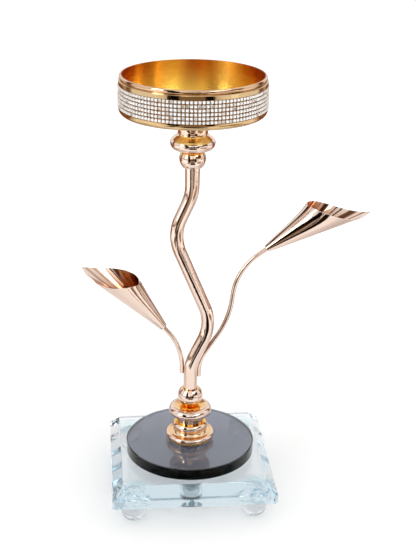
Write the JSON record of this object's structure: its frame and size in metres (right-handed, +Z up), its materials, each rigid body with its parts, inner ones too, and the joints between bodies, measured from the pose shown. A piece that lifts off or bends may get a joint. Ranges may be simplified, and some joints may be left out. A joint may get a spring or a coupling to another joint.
{
  "type": "candle holder",
  "caption": "Candle holder: a rhinestone-banded cup on a wavy gilt stem with calla flower branches, on a smoked glass disc and a clear crystal block with ball feet.",
  "frame": {"origin": "the point of the floor under the stem's axis", "axes": "+Z up along the stem's axis, +X towards the long branch, -Y towards the front"},
  "size_m": [0.2238, 0.13, 0.3471],
  "materials": {
    "rose_gold_plate": "polished rose gold plate",
    "gilt_bowl": "spun gilt metal, satin inside",
    "gilt_mesh": "gilt setting strip",
    "white_stone": "cut and foiled",
    "clear_crystal": "polished",
    "ball_glass": "polished",
    "smoked_glass": "polished, smoked",
    "soft_pvc": "soft clear plastic",
    "zinc_steel": "zinc plated"
  },
  "bodies": {
    "root": {"ball_foot_front_left": "ball_glass", "ball_foot_front_right": "ball_glass", "ball_foot_rear_left": "ball_glass", "ball_foot_rear_right": "ball_glass", "band_hoop": "rose_gold_plate", "base_gasket": "soft_pvc", "clamp_screw": "zinc_steel", "clamp_washer": "zinc_steel", "crystal_base": "clear_crystal", "cup_bowl": "gilt_bowl", "cup_neck": "rose_gold_plate", "cup_screw": "zinc_steel", "cup_washer": "zinc_steel", "foot_gasket": "soft_pvc", "left_branch": "rose_gold_plate", "left_calla": "rose_gold_plate", "lower_knob": "rose_gold_plate", "lower_plug": "zinc_steel", "rhinestones": "white_stone", "right_branch": "rose_gold_plate", "right_calla": "rose_gold_plate", "saucer": "rose_gold_plate", "smoked_disc": "smoked_glass", "stone_mesh": "gilt_mesh", "turned_collar": "rose_gold_plate", "turned_foot": "rose_gold_plate", "upper_knob": "rose_gold_plate", "upper_plug": "zinc_steel", "wavy_tube": "rose_gold_plate"}
  },
  "joints": []
}
